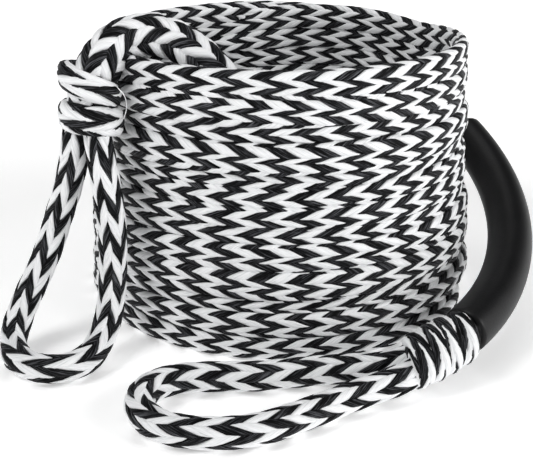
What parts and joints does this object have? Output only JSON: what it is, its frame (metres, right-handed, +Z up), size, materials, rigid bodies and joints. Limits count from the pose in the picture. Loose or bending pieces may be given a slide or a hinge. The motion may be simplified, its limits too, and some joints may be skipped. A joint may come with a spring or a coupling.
{
  "type": "tow rope with handle",
  "caption": "Two-colour hollow-braid tow rope wound in an upright coil, with a wrapped and looped boat end and a foam grip beside a wrapped hand loop.",
  "frame": {"origin": "middle of the object's footprint, on the ground plane that the coil stands on", "axes": "+Z up; +Y from the two loops in front towards the coil behind; +X towards the foam grip"},
  "size_m": [0.3309, 0.3548, 0.1913],
  "materials": {
    "rope_white": "slightly glossy flat filament yarn",
    "rope_charcoal": "charcoal filament yarn",
    "grip_foam": "matt closed-cell EVA foam"
  },
  "bodies": {
    "coil": {"main_coil": "rope_white", "boat_end_lead": "rope_white", "boat_knot_core": "rope_charcoal", "boat_knot_upper_wrap": "rope_white", "boat_knot_lower_wrap": "rope_charcoal", "boat_tail_tip": "rope_charcoal", "handle_lead": "rope_white"},
    "boat_loop": {"boat_end_loop": "rope_white"},
    "handle": {"grip_core_rope": "rope_charcoal", "grip_sleeve": "grip_foam", "handle_knot_core": "rope_white", "handle_knot_grip_wrap": "rope_charcoal", "handle_knot_second_wrap": "rope_white", "handle_knot_third_wrap": "rope_charcoal", "handle_knot_loop_wrap": "rope_white"},
    "loop": {"hand_loop": "rope_white"}
  },
  "joints": [
    {"name": "boat_loop_lift", "type": "hinge", "parent": "coil", "child": "boat_loop", "pos_m": [-0.109, -0.051, 0.118], "axis": [-0.8944, 0.4472, 0], "range_deg": [0, 80]},
    {"name": "handle_swing", "type": "hinge", "parent": "coil", "child": "handle", "pos_m": [0.1306, 0.1103, 0.0892], "axis": [0, 0, 1], "range_deg": [0, 40]},
    {"name": "hand_loop_lift", "type": "hinge", "parent": "handle", "child": "loop", "pos_m": [0.0605, -0.1185, 0.013], "axis": [-0.5145, 0.8575, 0], "range_deg": [0, 70]}
  ]
}
